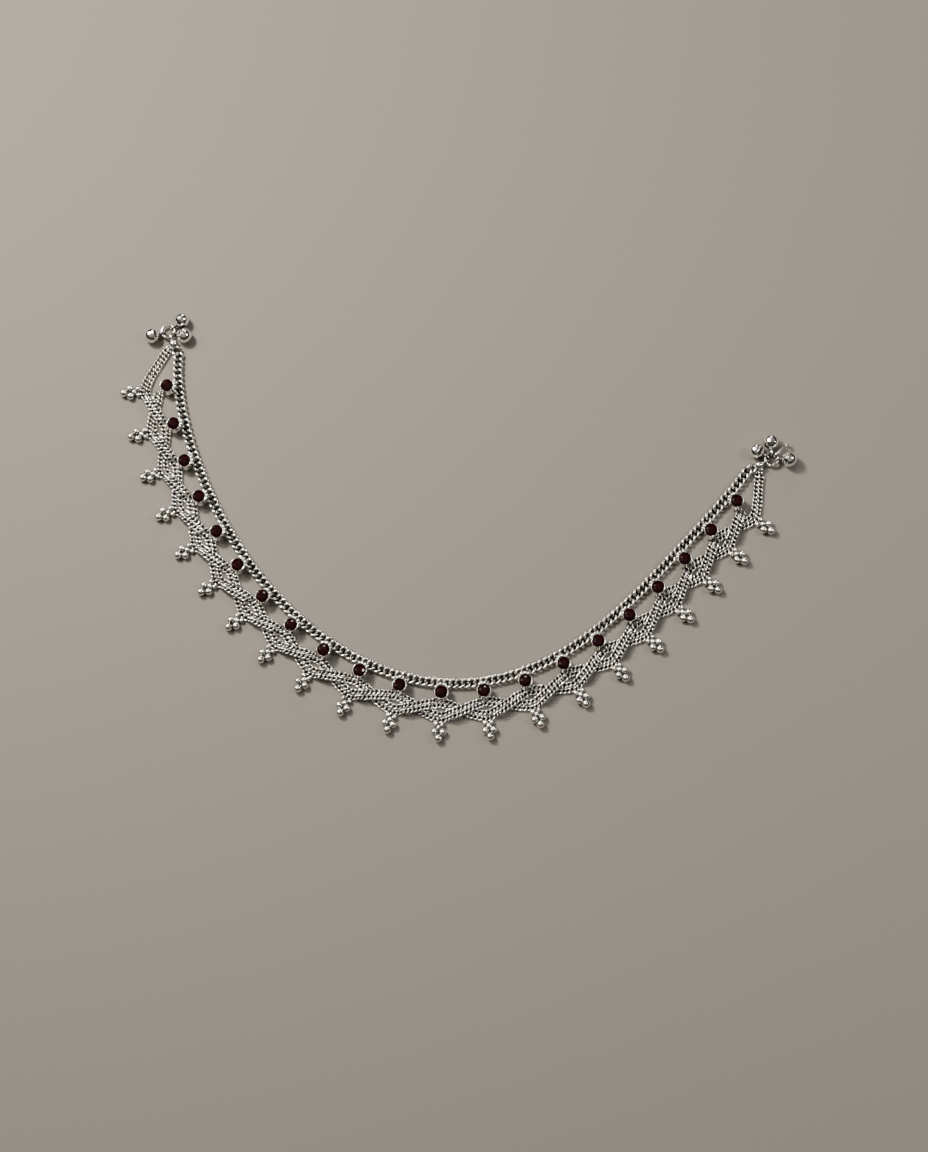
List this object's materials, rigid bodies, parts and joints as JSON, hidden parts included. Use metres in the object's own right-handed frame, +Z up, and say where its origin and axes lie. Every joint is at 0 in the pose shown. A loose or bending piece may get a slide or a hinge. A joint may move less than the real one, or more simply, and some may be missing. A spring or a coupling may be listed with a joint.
{
  "type": "filigree anklet",
  "caption": "Open silver anklet lying flat: a flat chain with garnet bezels, crossing wavy fine strands, grain pendants, and a ring with small bells at each end.",
  "frame": {"origin": "centre of the footprint on the surface that the anklet lies on", "axes": "+Z up; +X from the left end to the right end, along the longest side; the open side of the U towards +Y"},
  "size_m": [0.1926, 0.1256, 0.0044],
  "materials": {
    "silver_chain": "bright silver links, oxidised in the crevices",
    "silver_bright": "polished silver with fine wear",
    "garnet": "faceted dark red stone"
  },
  "bodies": {
    "root": {"top_chain": "silver_chain", "garnet_01": "garnet", "garnet_02": "garnet", "garnet_03": "garnet", "garnet_04": "garnet", "garnet_05": "garnet", "garnet_06": "garnet", "garnet_07": "garnet", "garnet_08": "garnet", "garnet_09": "garnet", "garnet_10": "garnet", "garnet_11": "garnet", "garnet_12": "garnet", "garnet_13": "garnet", "garnet_14": "garnet", "garnet_15": "garnet", "garnet_16": "garnet", "garnet_17": "garnet", "garnet_18": "garnet", "garnet_19": "garnet", "garnet_20": "garnet", "garnet_21": "garnet", "pendant_01": "silver_bright", "pendant_02": "silver_bright", "pendant_03": "silver_bright", "pendant_04": "silver_bright", "pendant_05": "silver_bright", "pendant_06": "silver_bright", "pendant_07": "silver_bright", "pendant_08": "silver_bright", "pendant_09": "silver_bright", "pendant_10": "silver_bright", "pendant_11": "silver_bright", "pendant_12": "silver_bright", "pendant_13": "silver_bright", "pendant_14": "silver_bright", "pendant_15": "silver_bright", "pendant_16": "silver_bright", "pendant_17": "silver_bright", "pendant_18": "silver_bright", "pendant_19": "silver_bright", "pendant_20": "silver_bright", "pendant_21": "silver_bright", "strand_a_inner": "silver_chain", "strand_a_outer": "silver_chain", "strand_b_inner": "silver_chain", "strand_b_outer": "silver_chain", "end_bead_left": "silver_bright", "end_bead_right": "silver_bright", "ring_left": "silver_bright", "ring_right": "silver_bright", "hook": "silver_bright", "bell_left_1": "silver_bright", "bell_left_2": "silver_bright", "bell_left_3": "silver_bright", "bell_right_1": "silver_bright", "bell_right_2": "silver_bright", "bell_right_3": "silver_bright"}
  },
  "joints": []
}
